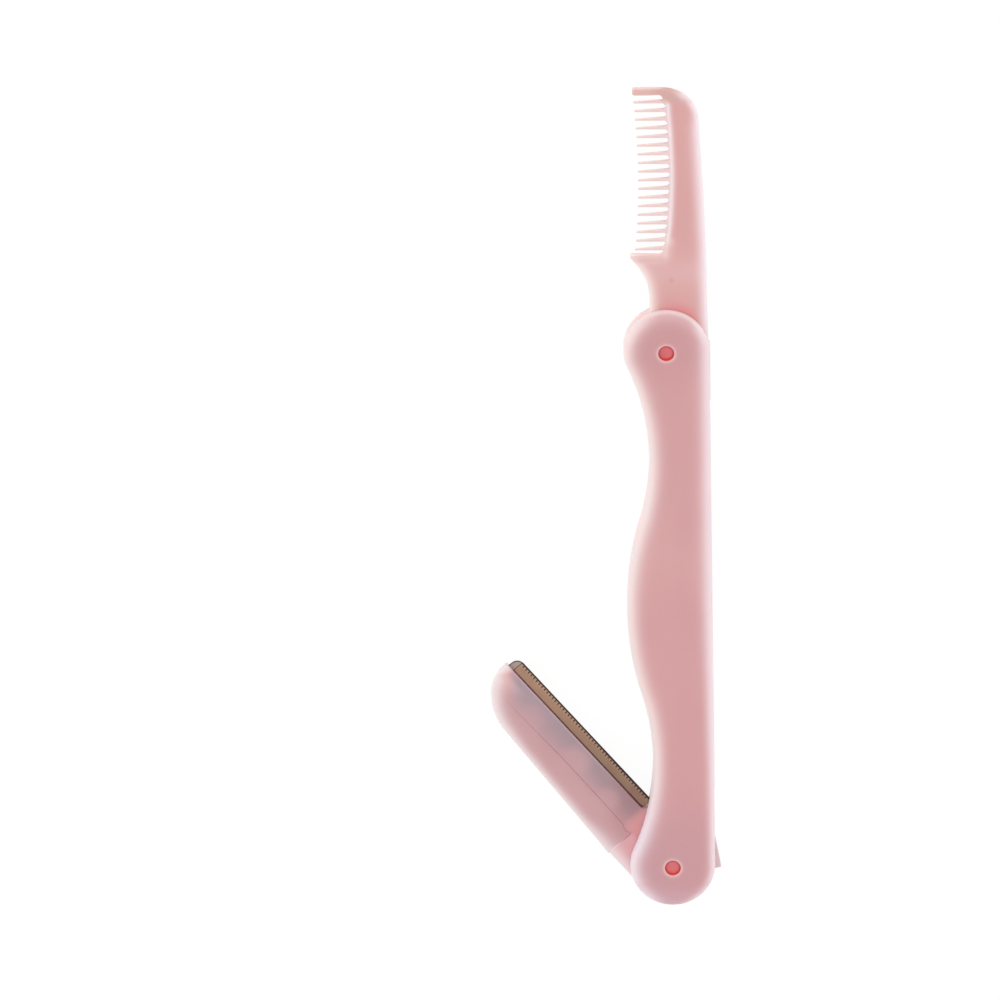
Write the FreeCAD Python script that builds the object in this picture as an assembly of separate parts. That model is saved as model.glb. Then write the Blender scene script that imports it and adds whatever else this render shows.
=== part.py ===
import FreeCAD, Part
import math
import os

# Folding eyebrow razor and brow comb, about 95 mm long when shut, in millimetres.
# Two wavy plastic shells are joined along a straight spine. The comb turns on a pin at
# the upper end and the razor on a pin at the lower end, and both fold into the slot
# between the shells. The part is drawn with the comb straight out and the razor opened
# part way. It lies on the outer face of the rear shell. X points to the spine, Y along
# the handle to the comb, and Z out of the front shell. The origin is on the rear shell's
# outer face, midway between the two pins.

# Handle: sizes that both shells share
handle_width = 12.85
waist_width = 9.2
waist_place_share = 0.584
belly_width = 12.8
end_inset = 0.06
plate_thick = 1.9
edge_round = 1.5
spine_wall = 0.95
spine_wall_embed = 0.4

# Running room: beside an arm, inside the spine wall, round a pin and at a stop
side_clear = 0.08
wall_clear = 0.25
pin_clear = 0.05
stop_clear = 0.08
heel_clear = 0.45

# Pivot pins and their sunk ends
pin_dia = 2.35
pin_recess = 0.45
pin_edge = 0.12
rim_edge = 0.18

# Locating pegs on the spine wall, which enter blind holes in the front shell
peg_dia = 0.5
peg_height = 0.75
peg_clear = 0.04
peg_place_shares = (0.08, 0.92)

# Both arms. The handle is as long as they need, for their tips to miss when both are shut
tips_gap = 0.35
arm_thick = 1.3
arm_round = 0.45
fine_edge = 0.16

# Comb: back, neck and ends, measured from its pin or from the handle's spine
comb_reach = 41.435
comb_stop_height = 1.3
comb_back_inset = 0.1
comb_mid_inset = 0.375
comb_mid_height_share = 0.498
comb_tip_inset = 1.425
comb_back_radius = 420.0
comb_corner_radius = 5.3
comb_neck_depth = 2.825
comb_neck_radius = 9.0
horn_drop = 3.4
horn_height = 0.4
horn_gap = 0.86

# Comb teeth: a tapered rake between a thick first tooth and the horn
tooth_count = 18
tooth_lowest = 15.8
tooth_root_height = 0.48
tooth_tip_height = 0.2
tooth_root_thick = 0.85
tooth_tip_thick = 0.42
tooth_slot_round_share = 0.45
first_tooth_height = 0.8
first_tooth_gap = 1.38
first_tooth_inset = 0.7
tooth_tip_inset = 0.66
tooth_tip_hollow = 0.64
tooth_length = 4.365
tooth_root_hollow = 1.0
tooth_corner_round = 0.9
tooth_embed = 0.5
eject_mark_dia = 0.8
eject_mark_depth = 0.12
eject_mark_place = 0.9
eject_mark_height = 11.0

# Blade: its foot is measured from the handle's round end and its edge from the spine wall.
# It is ground on both sides, with three holes that the moulded plastic fills
blade_length = 30.7
blade_width = 5.66
blade_thick = 0.3
blade_bevel = 0.45
blade_show = 1.78
blade_lean = 4.5
blade_foot_rise = 3.435
blade_edge_gap = 2.115
blade_tip_round = 0.8
blade_back_round = 2.4
blade_hole_dia = 1.9
blade_hole_back = 1.91
blade_hole_place_shares = (0.151, 0.472, 0.72)

# Guard: thin foil folded over the cutting edge, with a row of fine slots across it
foil_thick = 0.1
guard_nose = 0.13
guard_tip_gap = 1.2
guard_foot_gap = 0.05
guard_end_round = 0.35
guard_foot_round = 0.75
guard_slot_pitch = 0.608
guard_slot_width = 0.27
guard_slot_depth = 0.56

# Razor arm: the blade holder
razor_open_angle = 36.0
holder_foot_rise = 0.775
holder_tip_margin = 0.25
holder_low_wall = 4.53
holder_high_wall = 5.32

# Rounded end of the holder, as shares of its depth there
shoulder_drop_share = 0.812
shoulder_radius_share = 1.357
crown_inset_share = 0.502
crown_drop_share = 0.037
crown_radius_share = 0.87

# Razor arm: the tang between the shells, its stop and its heel
tang_inset = 0.4
tang_back_step = 0.25
tang_stop_rise = 2.475
tang_stop_slope = 0.8
tang_stop_round = 0.7
tang_stop_foot = 1.5
heel_proud = 0.9
heel_low_angle = -41.0
heel_high_angle = 8.0
heel_face_turn = 17.0

# Cap: a U-shaped clip over the holder's back, seated on a thin tongue of the arm
cap_foot_drop = 2.1
cap_wall = 1.5
cap_leg = 0.42
cap_blade_gap = 0.14
cap_line_width = 0.07
cap_line_depth = 0.1

# Length by which every cutting shape overruns what it cuts
overrun = 1.0

end_radius = handle_width / 2
slot_gap = arm_thick + 2 * side_clear
slot_floor = plate_thick
slot_roof = slot_floor + slot_gap
handle_thick = slot_roof + plate_thick
arm_floor = slot_floor + side_clear
arm_roof = arm_floor + arm_thick
arm_middle = (arm_floor + arm_roof) / 2
wall_face = end_radius - spine_wall
inner_reach = wall_face - wall_clear
heel_radius = end_radius + heel_proud

lean = math.radians(blade_lean)
blade_foot = end_radius + blade_foot_rise
blade_edge_place = wall_face - blade_edge_gap
holder_foot = end_radius + holder_foot_rise
cap_line = blade_width + cap_blade_gap
holder_back_low = blade_width + holder_low_wall - blade_edge_place
holder_back_high = blade_width + holder_high_wall - blade_edge_place
razor_reach = blade_foot + blade_length * math.cos(lean) + holder_tip_margin
holder_edge = blade_edge_place - blade_show * math.cos(lean)
holder_tip = holder_edge - (razor_reach - blade_foot) * math.tan(lean)
holder_depth = holder_tip + holder_back_high
shoulder_high = razor_reach - holder_depth * shoulder_drop_share

pivot_spacing = razor_reach + tips_gap + comb_reach
pivot_height = pivot_spacing / 2
waist_offset = pivot_height * waist_place_share
wall_top = pivot_height + comb_stop_height
wall_low = -pivot_height + math.sqrt(heel_radius ** 2 - wall_face ** 2) + heel_clear

comb_back = end_radius - comb_back_inset
first_tooth_end = inner_reach - first_tooth_inset
comb_top = math.sqrt(comb_reach ** 2 - first_tooth_end ** 2)
tooth_highest = comb_top - first_tooth_height - first_tooth_gap
tooth_pitch = (tooth_highest - tooth_lowest) / (tooth_count - 1)
tooth_tips = -(inner_reach - tooth_tip_inset)
tooth_roots = tooth_tips + tooth_length

Z_AXIS = FreeCAD.Vector(0, 0, 1)
ORIGIN = FreeCAD.Vector(0, 0, 0)


def point(x, y, z=0.0):
    return FreeCAD.Vector(x, y, z)


def between(start, end, length):
    """The point at a given distance from start, on the way to end."""
    return start + (end - start).normalize() * length


def arc(centre, radius, start, end):
    """The short arc about a centre from one point to another."""
    middle = between(centre, (start + end) * 0.5, radius)
    return Part.Arc(start, middle, end).toShape()


def rounded_loop(corners):
    """A closed flat outline: straight sides whose corners (x, y, radius) are rounded."""
    entries = []
    exits = []
    edges = []
    count = len(corners)
    for index, (x, y, radius) in enumerate(corners):
        here = point(x, y)
        before = point(*corners[index - 1][:2])
        after = point(*corners[(index + 1) % count][:2])
        if radius > 0:
            turn = math.pi - (before - here).getAngle(after - here)
            reach = radius * math.tan(turn / 2)
            entry = between(here, before, reach)
            leave = between(here, after, reach)
            side = (entry + leave) * 0.5
            centre = between(here, side, radius / math.cos(turn / 2))
            edges.append(arc(centre, radius, entry, leave))
        else:
            entry = here
            leave = here
        entries.append(entry)
        exits.append(leave)
    for index in range(count):
        start = exits[index]
        end = entries[(index + 1) % count]
        if (end - start).Length > 1e-6 * pivot_spacing:
            edges.append(Part.LineSegment(start, end).toShape())
    return Part.Wire(Part.__sortEdges__(edges))


def prism(wire, floor, roof):
    """A flat outline raised between two heights."""
    solid = Part.Face(wire).extrude(point(0, 0, roof - floor))
    solid.translate(point(0, 0, floor))
    return solid


def disc(x, y, radius, floor, roof):
    return Part.makeCylinder(radius, roof - floor, point(x, y, floor))


def block(x0, x1, y0, y1, floor, roof):
    return Part.makeBox(x1 - x0, y1 - y0, roof - floor, point(x0, y0, floor))


def edges_at(solid, heights, wanted):
    """Edges that lie at one of the heights and whose middle point is wanted."""
    found = []
    for edge in solid.Edges:
        box = edge.BoundBox
        middle = edge.valueAt((edge.FirstParameter + edge.LastParameter) / 2)
        for height in heights:
            flat = abs(box.ZMin - height) + abs(box.ZMax - height) < 1e-5 * pivot_spacing
            if flat and wanted(middle):
                found.append(edge)
    return found


def everywhere(_middle):
    return True


def handle_outline():
    """Both shells: round ends, a straight spine, and two waists each side of a belly."""
    waist_out = waist_width - end_radius
    belly_out = belly_width - end_radius
    end_height = pivot_height - end_inset
    rise = end_height - waist_offset
    hollow = end_radius - waist_out
    waist_radius = (waist_out ** 2 + rise ** 2 - end_radius ** 2) / (2 * hollow)
    swell = belly_out - waist_out
    belly_radius = (waist_offset ** 2 + swell ** 2) / (2 * swell) - waist_radius

    top = point(0, end_height)
    low = point(0, -end_height)
    waist_top = point(-waist_out - waist_radius, waist_offset)
    waist_low = point(-waist_out - waist_radius, -waist_offset)
    belly = point(belly_radius - belly_out, 0)

    spine_top = point(end_radius, end_height)
    spine_low = point(end_radius, -end_height)
    end_top = point(0, end_height + end_radius)
    end_low = point(0, -end_height - end_radius)
    leave_top = between(top, waist_top, end_radius)
    leave_low = between(low, waist_low, end_radius)
    swell_top = between(waist_top, belly, waist_radius)
    swell_low = between(waist_low, belly, waist_radius)
    edges = [
        Part.LineSegment(spine_low, spine_top).toShape(),
        Part.Arc(spine_top, end_top, leave_top).toShape(),
        arc(waist_top, waist_radius, leave_top, swell_top),
        Part.Arc(swell_top, point(-belly_out, 0), swell_low).toShape(),
        arc(waist_low, waist_radius, swell_low, leave_low),
        Part.Arc(leave_low, end_low, spine_low).toShape(),
    ]
    return Part.Wire(edges)


def spine_pegs(radius, floor, roof):
    """The row of locating pegs, or of their holes, along the middle of the spine wall."""
    place = end_radius - spine_wall / 2
    length = wall_top - wall_low
    heights = [wall_low + share * length for share in peg_place_shares]
    return [disc(place, height, radius, floor, roof) for height in heights]


def shell_plate(floor, roof, outer):
    """One wavy plate with a rounded outer edge and the two pin holes."""
    plate = prism(handle_outline(), floor, roof)
    plate = plate.makeFillet(edge_round, edges_at(plate, [outer], everywhere))
    for y in (-pivot_height, pivot_height):
        plate = plate.cut(disc(0, y, pin_dia / 2, floor - overrun, roof + overrun))

    def on_hole_rim(middle):
        return math.hypot(middle.x, abs(middle.y) - pivot_height) < pin_dia

    return plate.makeChamfer(rim_edge, edges_at(plate, [outer], on_hole_rim))


def make_rear_shell():
    """Rear plate with the spine wall, which carries the front plate, and its pegs."""
    plate = shell_plate(0.0, slot_floor, 0.0)
    wall_foot = slot_floor - spine_wall_embed
    band = block(wall_face, end_radius + overrun, wall_low, wall_top, wall_foot, slot_roof)
    wall = prism(handle_outline(), 0.0, slot_roof).common(band)
    pegs = spine_pegs(peg_dia / 2, slot_roof - peg_height, slot_roof + peg_height)
    return plate.fuse([wall] + pegs).removeSplitter()


def make_front_shell():
    """Front plate, seated on the spine wall, with blind holes for the pegs."""
    plate = shell_plate(slot_roof, handle_thick, handle_thick)
    hole_top = slot_roof + peg_height + peg_clear
    return plate.cut(spine_pegs(peg_dia / 2 + peg_clear, slot_roof - overrun, hole_top))


def make_pin(y):
    """A plain moulded pin through both plates, its ends sunk below the outer faces."""
    low = pin_recess
    high = handle_thick - pin_recess
    pin = disc(0, y, pin_dia / 2, low, high)
    return pin.makeChamfer(pin_edge, edges_at(pin, [low, high], everywhere))


def comb_body():
    """Neck, back and the two thick ends of the comb, about the pin as origin."""
    back_mid = end_radius - comb_mid_inset
    back_tip = end_radius - comb_tip_inset
    neck = comb_neck_depth - inner_reach
    shoulder = comb_stop_height + stop_clear
    horn_top = tooth_lowest - horn_gap
    horn_low = horn_top - horn_height
    first_tooth_low = comb_top - first_tooth_height
    root_apex = tooth_roots + 2 * tooth_root_hollow
    half_rake = (first_tooth_low - horn_top) / 2
    root_slope = 2 * tooth_root_hollow / half_rake
    root_radius = (half_rake - 2 * tooth_corner_round) / root_slope
    corners = [
        (comb_back, shoulder, 0),
        (back_mid, comb_top * comb_mid_height_share, comb_back_radius),
        (back_tip, comb_top, comb_corner_radius),
        (-first_tooth_end, comb_top, 0),
        (-first_tooth_end, first_tooth_low, 0),
        (tooth_roots, first_tooth_low, tooth_corner_round),
        (root_apex, (tooth_lowest + tooth_highest) / 2, root_radius),
        (tooth_roots, horn_top, tooth_corner_round),
        (-inner_reach, horn_top, 0),
        (-inner_reach, horn_low, 0),
        (neck, horn_low - horn_drop, comb_neck_radius),
        (neck, shoulder, 0),
    ]
    body = prism(rounded_loop(corners), arm_floor, arm_roof)

    def on_back(middle):
        return middle.x > back_tip or middle.y > comb_top - fine_edge

    def on_rake(middle):
        return middle.x < root_apex and shoulder + fine_edge < middle.y < comb_top - fine_edge

    body = body.makeFillet(arm_round, edges_at(body, [arm_floor, arm_roof], on_back))
    return body.makeChamfer(fine_edge, edges_at(body, [arm_floor, arm_roof], on_rake))


def comb_rake():
    """The thin teeth: a plate that tapers to the tips, parted by round-ended slots."""
    low = tooth_lowest - tooth_pitch / 2
    high = tooth_highest + tooth_pitch / 2
    middle = (low + high) / 2
    half = (high - low) / 2
    root_deep = tooth_roots + tooth_root_hollow + tooth_embed
    section = [
        point(root_deep, low, arm_middle - tooth_root_thick / 2),
        point(root_deep, low, arm_middle + tooth_root_thick / 2),
        point(tooth_tips, low, arm_middle + tooth_tip_thick / 2),
        point(tooth_tips, low, arm_middle - tooth_tip_thick / 2),
    ]
    plate = Part.Face(Part.makePolygon(section + section[:1])).extrude(point(0, high - low, 0))

    # The tips lie on a shallow hollow, and so do the roots.
    hollow_radius = (half ** 2 + tooth_tip_hollow ** 2) / (2 * tooth_tip_hollow)
    hollow_centre = tooth_tips + tooth_tip_hollow - hollow_radius
    cutters = [disc(hollow_centre, middle, hollow_radius, slot_floor, slot_roof)]
    root_gap = tooth_pitch - tooth_root_height
    tip_gap = tooth_pitch - tooth_tip_height
    slot_round = root_gap * tooth_slot_round_share
    for index in range(tooth_count + 1):
        height = low + index * tooth_pitch
        away = (height - middle) / half
        root = tooth_roots + tooth_root_hollow * (1 - away ** 2)
        mouth = tooth_tips - overrun
        slot = [
            (root, height - root_gap / 2, slot_round),
            (mouth, height - tip_gap / 2, 0),
            (mouth, height + tip_gap / 2, 0),
            (root, height + root_gap / 2, slot_round),
        ]
        cutters.append(prism(rounded_loop(slot), slot_floor, slot_roof))
    return plate.cut(cutters)


def make_comb():
    """The comb with its tang, straight out of the handle's upper end."""
    tang = disc(0, 0, inner_reach, arm_floor, arm_roof)
    comb = comb_body().fuse([comb_rake(), tang]).removeSplitter()
    bore = disc(0, 0, pin_dia / 2 + pin_clear, slot_floor, slot_roof)
    mark_floor = arm_roof - eject_mark_depth
    mark = disc(eject_mark_place, eject_mark_height, eject_mark_dia / 2, mark_floor, slot_roof)
    comb = comb.cut([bore, mark])
    comb.translate(point(0, pivot_height))
    return comb


def place_on_blade(shape):
    """Takes a shape drawn along an upright cutting edge to the leaning edge on the arm."""
    shape.rotate(ORIGIN, Z_AXIS, blade_lean)
    shape.translate(point(blade_edge_place, blade_foot, arm_middle))
    return shape


def place_on_razor(shape):
    """Takes a shape of the shut razor to its pivot, opened to the drawn pose."""
    shape.rotate(ORIGIN, Z_AXIS, razor_open_angle)
    shape.translate(point(0, -pivot_height))
    return shape


def edge_bar(half_section, low, high):
    """A bar along the cutting edge from half of its section, (depth, half thickness)."""
    upper = [point(x, low, z) for x, z in half_section]
    lower = [point(x, low, -z) for x, z in reversed(half_section) if z > 0]
    loop = upper + lower
    return Part.Face(Part.makePolygon(loop + loop[:1])).extrude(point(0, high - low, 0))


def upright_blade(holes):
    """The blade with its cutting edge on the Y axis, with or without its holes."""
    half = blade_thick / 2
    bar = edge_bar([(0, 0), (-blade_bevel, half), (-blade_width, half)], 0, blade_length)
    corners = [
        (0, 0, blade_tip_round),
        (0, blade_length, blade_tip_round),
        (-blade_width, blade_length, blade_back_round),
        (-blade_width, 0, blade_tip_round),
    ]
    blade = bar.common(prism(rounded_loop(corners), -blade_thick, blade_thick))
    if not holes:
        return blade
    for share in blade_hole_place_shares:
        height = share * blade_length
        radius = blade_hole_dia / 2
        place = blade_hole_back - blade_width
        blade = blade.cut(disc(place, height, radius, -blade_thick, blade_thick))
    return blade


def upright_guard():
    """The folded foil over the cutting edge, slotted across the fold."""
    low = guard_foot_gap
    high = blade_length - guard_tip_gap
    half = blade_thick / 2 + foil_thick
    seat = -(blade_show - foil_thick)
    section = [(guard_nose, foil_thick / 2), (-blade_bevel, half), (seat, half)]
    corners = [
        (guard_nose, low, guard_end_round),
        (guard_nose, high, guard_end_round),
        (seat, high, 0),
        (seat, low, guard_foot_round),
    ]
    foil = edge_bar(section, low, high).common(prism(rounded_loop(corners), -half, half))
    foil = foil.cut(upright_blade(False))

    usable = high - low - 2 * guard_end_round
    count = int(usable / guard_slot_pitch)
    first = low + (high - low - (count - 1) * guard_slot_pitch - guard_slot_width) / 2
    reach = guard_nose + overrun
    slots = []
    for index in range(count):
        start = first + index * guard_slot_pitch
        end = start + guard_slot_width
        slots.append(block(-guard_slot_depth, reach, start, end, -half - overrun, half + overrun))
    return foil.cut(slots)


def holder_head():
    """Holder and cap together: one rounded paddle behind the blade, before it is parted."""
    stop_x = wall_face - stop_clear
    stop_high = end_radius + tang_stop_rise
    crown_x = holder_tip - holder_depth * crown_inset_share
    crown_high = razor_reach - holder_depth * crown_drop_share
    corners = [
        (-holder_back_low, holder_foot, 0),
        (stop_x, holder_foot, 0),
        (stop_x, stop_high, tang_stop_round),
        (holder_edge, stop_high + tang_stop_slope, 0),
        (holder_tip, razor_reach, 0),
        (crown_x, crown_high, holder_depth * crown_radius_share),
        (-holder_back_high, shoulder_high, holder_depth * shoulder_radius_share),
    ]
    head = prism(rounded_loop(corners), arm_floor, arm_roof)

    def on_back(middle):
        slope = (middle.y - blade_foot) * math.tan(lean)
        return middle.x < holder_edge - slope - arm_round and middle.y > holder_foot + overrun

    return head.makeFillet(arm_round, edges_at(head, [arm_floor, arm_roof], on_back))


def behind_blade(near, far, floor, roof):
    """A slab along the blade's back between two depths, from the cap's foot upwards."""
    slab = block(far, near, -cap_foot_drop, razor_reach, floor - arm_middle, roof - arm_middle)
    return place_on_blade(slab)


def cap_zone():
    """Everything behind the blade and above the cap's foot."""
    far = -(blade_width + holder_back_high)
    return behind_blade(-cap_line, far, slot_floor, slot_roof)


def cap_line_grooves():
    """A fine groove in the arm's two faces, along the edge of the cap's legs."""
    near = cap_line_width - cap_line
    upper = behind_blade(near, -cap_line, arm_roof - cap_line_depth, slot_roof)
    lower = behind_blade(near, -cap_line, slot_floor, arm_floor + cap_line_depth)
    return [upper, lower]


def cap_tongue():
    """The thin tongue of the arm under the cap: the paddle's outline drawn in all round."""
    low_back = holder_back_low - cap_wall
    high_back = holder_back_high - cap_wall
    tip_y = shoulder_high + cap_wall
    corners = [
        (-low_back, holder_foot - overrun, 0),
        (blade_edge_place - blade_show, holder_foot - overrun, 0),
        (blade_edge_place - cap_line + cap_wall, tip_y, 0),
        (-high_back, tip_y - cap_wall, cap_wall),
    ]
    return prism(rounded_loop(corners), arm_floor + cap_leg, arm_roof - cap_leg)


def razor_tang():
    """The part between the shells: a disc on the pin, the back, the stop and the heel."""
    radius = end_radius - tang_inset
    stop_x = wall_face - stop_clear
    round_end = disc(0, 0, radius, arm_floor, arm_roof)
    waist = prism(rounded_loop([
        (-radius, 0, 0),
        (tang_back_step - holder_back_low, holder_foot, 0),
        (stop_x, holder_foot, 0),
        (stop_x, tang_stop_foot, 0),
    ]), arm_floor, arm_roof)

    # The heel is a sector that stands proud of the spine, for the thumb to push.
    far = 2 * heel_radius
    low = math.radians(heel_low_angle)
    high = math.radians(heel_high_angle)
    face = low + math.radians(heel_face_turn)
    corner = point(heel_radius * math.cos(low), heel_radius * math.sin(low))
    inward = point(math.cos(face), math.sin(face)) * heel_radius
    sector = [
        ORIGIN,
        corner - inward * 0.5,
        corner + inward * 0.5,
        point(far, corner.y),
        point(far * math.cos(high), far * math.sin(high)),
    ]
    wedge = prism(Part.makePolygon(sector + sector[:1]), arm_floor, arm_roof)
    heel = wedge.common(disc(0, 0, heel_radius, arm_floor, arm_roof))
    return round_end.fuse([waist, heel])


def make_razor_arm():
    """Tang and holder in one moulding, around the blade and inside the cap."""
    head = holder_head().cut(cap_zone())
    tongue = cap_tongue().common(holder_head())
    arm = head.fuse([tongue, razor_tang()])
    blade = place_on_blade(upright_blade(True))
    bore = disc(0, 0, pin_dia / 2 + pin_clear, slot_floor, slot_roof)
    arm = arm.cut(cap_line_grooves() + [blade, bore]).removeSplitter()
    return place_on_razor(arm)


def make_cap():
    """The clip over the holder's back, open towards the blade for the arm's tongue."""
    cap = holder_head().common(cap_zone())
    return place_on_razor(cap.cut(cap_tongue()))


nodes = {
    "rear_shell": make_rear_shell(),
    "front_shell": make_front_shell(),
    "comb_pivot_pin": make_pin(pivot_height),
    "razor_pivot_pin": make_pin(-pivot_height),
    "comb": make_comb(),
    "razor_arm": make_razor_arm(),
    "blade_back_cap": make_cap(),
    "blade": place_on_razor(place_on_blade(upright_blade(True))),
    "blade_guard": place_on_razor(place_on_blade(upright_guard())),
}

os.makedirs("parts", exist_ok=True)
for name, shape in nodes.items():
    solids = shape.Solids
    print(name, len(solids), shape.isValid(), round(shape.Volume, 3), len(shape.Faces))
    kept = solids[0] if len(solids) == 1 else Part.makeCompound(solids)
    kept.exportStep("parts/" + name + ".step")
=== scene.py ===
import math

import bpy
import numpy as np
from mathutils import Matrix, Vector
from mathutils.geometry import delaunay_2d_cdt


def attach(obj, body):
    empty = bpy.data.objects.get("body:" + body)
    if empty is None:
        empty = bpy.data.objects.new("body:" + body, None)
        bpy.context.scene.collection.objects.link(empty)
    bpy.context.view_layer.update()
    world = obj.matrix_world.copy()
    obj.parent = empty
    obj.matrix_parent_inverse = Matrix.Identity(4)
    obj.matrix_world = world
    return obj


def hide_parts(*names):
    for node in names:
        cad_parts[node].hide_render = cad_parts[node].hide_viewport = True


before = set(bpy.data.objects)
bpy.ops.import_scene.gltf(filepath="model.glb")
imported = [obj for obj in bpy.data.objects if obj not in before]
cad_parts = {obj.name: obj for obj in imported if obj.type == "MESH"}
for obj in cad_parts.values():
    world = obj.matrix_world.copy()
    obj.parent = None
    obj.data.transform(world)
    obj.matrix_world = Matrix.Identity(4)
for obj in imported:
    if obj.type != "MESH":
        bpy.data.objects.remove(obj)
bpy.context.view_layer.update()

# Rear shell: the plate that the razor lies on, injection moulded in translucent pink
# plastic. The straight wall along its spine carries the front shell and closes the slot.
# A fine welded bead and a short lug stand proud of the wall.
end_radius = 6.425
end_height = 41.19
waist_out = 2.775
waist_height = 24.09
belly_out = 6.375
pin_height = 41.25
pin_radius = 1.175
hole_edge = 0.18
plate_thick = 1.9
outer_round, inner_round = 1.5, 0.1
slot_roof = 3.36
slot_middle = (plate_thick + slot_roof) / 2
slot_half = slot_roof - slot_middle
wall_face, wall_low = 5.475, -35.62
wall_sunk, wall_round = 0.4, 0.04
metre = 0.001
# What stands proud of the wall: name, how far, its two ends, floor, roof and rounding
wall_trim = (
    ("spine_bead", 0.07, -29.2, 31.5, 2.2, 3.1, 0.05),
    ("spine_lug", 0.16, 33.1, 42.3, 2.1, 3.2, 0.08),
)


def straight(start, end, step):
    """Points along a straight side, from its start to just before its end."""
    start, end = np.array(start, float), np.array(end, float)
    count = max(1, round(np.linalg.norm(end - start) / step))
    return [start + (end - start) * i / count for i in range(count)]


def bend(centre, start, end, step):
    """Points of the short arc about a centre, from its start to just before its end."""
    centre = np.array(centre, float)
    first = np.array(start, float) - centre
    last = np.array(end, float) - centre
    turn = math.atan2(first[0] * last[1] - first[1] * last[0], first @ last)
    count = max(2, round(abs(turn) * np.linalg.norm(first) / step))
    angles = [turn * i / count for i in range(count)]
    return [
        centre + (first[0] * math.cos(a) - first[1] * math.sin(a),
                  first[0] * math.sin(a) + first[1] * math.cos(a))
        for a in angles
    ]


def circle_loop(x, y, radius, count=48):
    """Points round a whole circle."""
    turns = np.linspace(0, 2 * math.pi, count, endpoint=False)
    return np.stack([x + radius * np.cos(turns), y + radius * np.sin(turns)], 1)


def toward(start, end, length):
    """The point at a length from the start, on the way to the end."""
    start, end = np.array(start, float), np.array(end, float)
    return start + (end - start) / np.linalg.norm(end - start) * length


def handle_loop(step):
    """Both shells' outline: round ends, a straight spine, two waists and a belly."""
    rise = end_height - waist_height
    waist_radius = (waist_out ** 2 + rise ** 2 - end_radius ** 2) / (2 * (end_radius - waist_out))
    swell = belly_out - waist_out
    belly_radius = (waist_height ** 2 + swell ** 2) / (2 * swell) - waist_radius
    top, low = (0, end_height), (0, -end_height)
    waist_top = (-waist_out - waist_radius, waist_height)
    waist_low = (-waist_out - waist_radius, -waist_height)
    belly = (belly_radius - belly_out, 0)
    spine_top, spine_low = (end_radius, end_height), (end_radius, -end_height)
    end_top, end_low = (0, end_height + end_radius), (0, -end_height - end_radius)
    leave_top, leave_low = toward(top, waist_top, end_radius), toward(low, waist_low, end_radius)
    swell_top, swell_low = toward(waist_top, belly, waist_radius), toward(waist_low, belly, waist_radius)
    return np.array(
        straight(spine_low, spine_top, step)
        + bend(top, spine_top, end_top, step)
        + bend(top, end_top, leave_top, step)
        + bend(waist_top, leave_top, swell_top, step)
        + bend(belly, swell_top, swell_low, step)
        + bend(waist_low, swell_low, leave_low, step)
        + bend(low, leave_low, end_low, step)
        + bend(low, end_low, spine_low, step)
    )


def inset_of(places, loop):
    """How far each place (x, y) lies from an outline."""
    along = np.roll(loop, -1, axis=0) - loop
    length = (along ** 2).sum(1)
    found = []
    for place in places:
        share = np.clip(((place - loop) * along).sum(1) / length, 0, 1)
        gap = place - loop - along * share[:, None]
        found.append(math.sqrt((gap ** 2).sum(1).min()))
    return np.array(found)


def inside_loop(places, loop):
    """Which places lie inside an outline."""
    x, y = places[:, 0], places[:, 1]
    found = np.zeros(len(places), bool)
    for (ax, ay), (bx, by) in zip(loop, np.roll(loop, -1, axis=0)):
        crosses = (ay > y) != (by > y)
        with np.errstate(divide="ignore", invalid="ignore"):
            found ^= crosses & (x < (bx - ax) * (y - ay) / (by - ay) + ax)
    return found


def new_piece(name, points, faces, place=None):
    """A piece of the scene, from its points and faces."""
    mesh = bpy.data.meshes.new(name)
    mesh.from_pydata(points, [], faces)
    if place:
        mesh.transform(place)
    made = bpy.data.objects.new(name, mesh)
    bpy.context.scene.collection.objects.link(made)
    return made


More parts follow.
